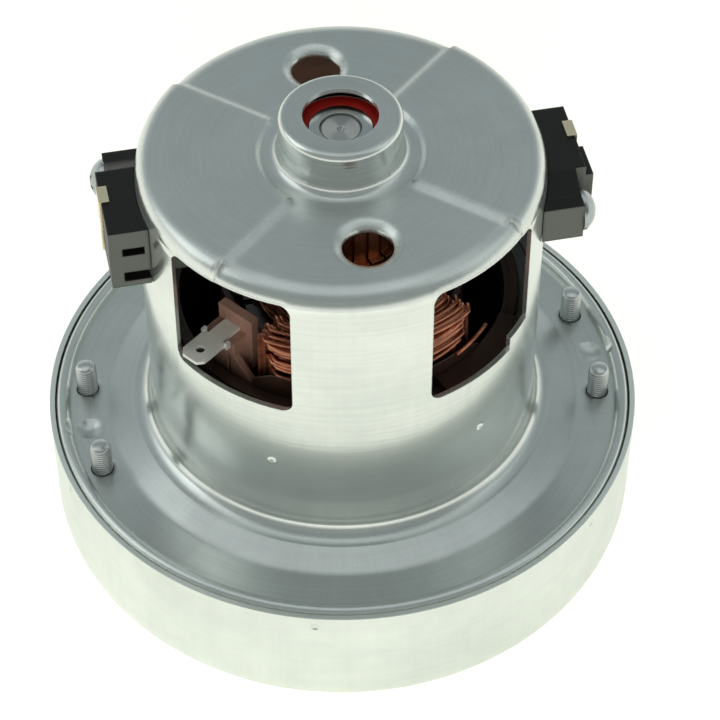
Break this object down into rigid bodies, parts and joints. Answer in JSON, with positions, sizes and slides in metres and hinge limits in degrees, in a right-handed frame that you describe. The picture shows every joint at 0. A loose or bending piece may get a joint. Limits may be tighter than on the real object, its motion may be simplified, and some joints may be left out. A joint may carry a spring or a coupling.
{
  "type": "vacuum cleaner motor",
  "caption": "Vacuum cleaner motor: windowed drawn can with bearing boss and side brush holders on a wide flange, staked into a round fan cover.",
  "frame": {"origin": "centre of the fan cover's bottom face, on the shaft axis", "axes": "+Z along the shaft from the fan towards the rear bearing boss, +X along the brush axis to the right-hand brush holder"},
  "size_m": [0.135, 0.135, 0.1179],
  "materials": {
    "zinc_sheet": "zinc-plated pressed sheet, fine drawn grain",
    "bright_steel": "bright plated steel",
    "ground_steel": "ground steel",
    "red_rubber": "moulded rubber seal",
    "black_plastic": "moulded black plastic",
    "grey_plastic": "moulded grey plastic",
    "aluminium_sheet": "pressed aluminium",
    "lamination": "stacked electrical sheet",
    "copper_wire": "enamelled copper wire",
    "copper_bar": "turned copper",
    "phenolic": "brown moulded phenolic",
    "tinned": "tin-plated brass",
    "brass_strip": "bare brass strip",
    "carbon": "pressed carbon",
    "spring_steel": "spring wire"
  },
  "bodies": {
    "housing": {"fan_cover": "zinc_sheet", "eye_seal": "grey_plastic", "motor_frame": "zinc_sheet", "return_guide": "grey_plastic", "bearing_bridge": "aluminium_sheet", "bridge_screws": "bright_steel", "lower_bearing_outer": "ground_steel", "lower_bearing_seal": "red_rubber", "upper_bearing_outer": "ground_steel", "upper_bearing_seal": "red_rubber", "preload_washer": "spring_steel", "field_stack": "lamination", "field_insulator_top": "phenolic", "field_insulator_low": "phenolic", "field_coil_front": "copper_wire", "field_coil_back": "copper_wire", "terminal_block_left": "phenolic", "terminal_block_right": "phenolic", "terminal_tab_left": "tinned", "terminal_tab_right": "tinned", "brush_holder_left": "black_plastic", "brush_holder_right": "black_plastic", "brush_tube_left": "brass_strip", "brush_tube_right": "brass_strip", "brush_spring_left": "spring_steel", "brush_spring_right": "spring_steel", "brush_clip_left": "brass_strip", "brush_clip_right": "brass_strip", "holder_screw_left": "bright_steel", "holder_screw_right": "bright_steel"},
    "rotor": {"shaft": "ground_steel", "armature_core": "lamination", "armature_winding": "copper_wire", "armature_wire": "copper_wire", "commutator_hub": "phenolic", "commutator_bars": "copper_bar", "fan_back_disc": "aluminium_sheet", "fan_vanes": "aluminium_sheet", "fan_front_disc": "aluminium_sheet", "fan_spacer": "bright_steel", "fan_washer": "bright_steel", "fan_nut": "bright_steel", "lower_bearing_inner": "ground_steel", "upper_bearing_inner": "ground_steel"},
    "lower_balls": {"lower_bearing_balls": "bright_steel"},
    "upper_balls": {"upper_bearing_balls": "bright_steel"},
    "brush_left": {"carbon_brush_left": "carbon"},
    "brush_right": {"carbon_brush_right": "carbon"}
  },
  "joints": [
    {"name": "rotor_spin", "type": "hinge", "parent": "housing", "child": "rotor", "pos_m": [0, 0, 0], "axis": [0, 0, 1], "continuous": true},
    {"name": "lower_balls_spin", "type": "hinge", "parent": "housing", "child": "lower_balls", "pos_m": [0, 0, 0], "axis": [0, 0, 1], "continuous": true},
    {"name": "upper_balls_spin", "type": "hinge", "parent": "housing", "child": "upper_balls", "pos_m": [0, 0, 0], "axis": [0, 0, 1], "continuous": true},
    {"name": "brush_left_slide", "type": "slide", "parent": "housing", "child": "brush_left", "axis": [-1, 0, 0], "range_m": [0, 0.006], "stiffness_N_per_m": 150, "springref_m": -0.02, "deforming": ["brush_spring_left"]},
    {"name": "brush_right_slide", "type": "slide", "parent": "housing", "child": "brush_right", "axis": [1, 0, 0], "range_m": [0, 0.006], "stiffness_N_per_m": 150, "springref_m": -0.02, "deforming": ["brush_spring_right"]}
  ],
  "couplings": [
    {"joint": "lower_balls_spin", "follows": "rotor_spin", "ratio": 0.39634},
    {"joint": "upper_balls_spin", "follows": "rotor_spin", "ratio": 0.39634}
  ]
}
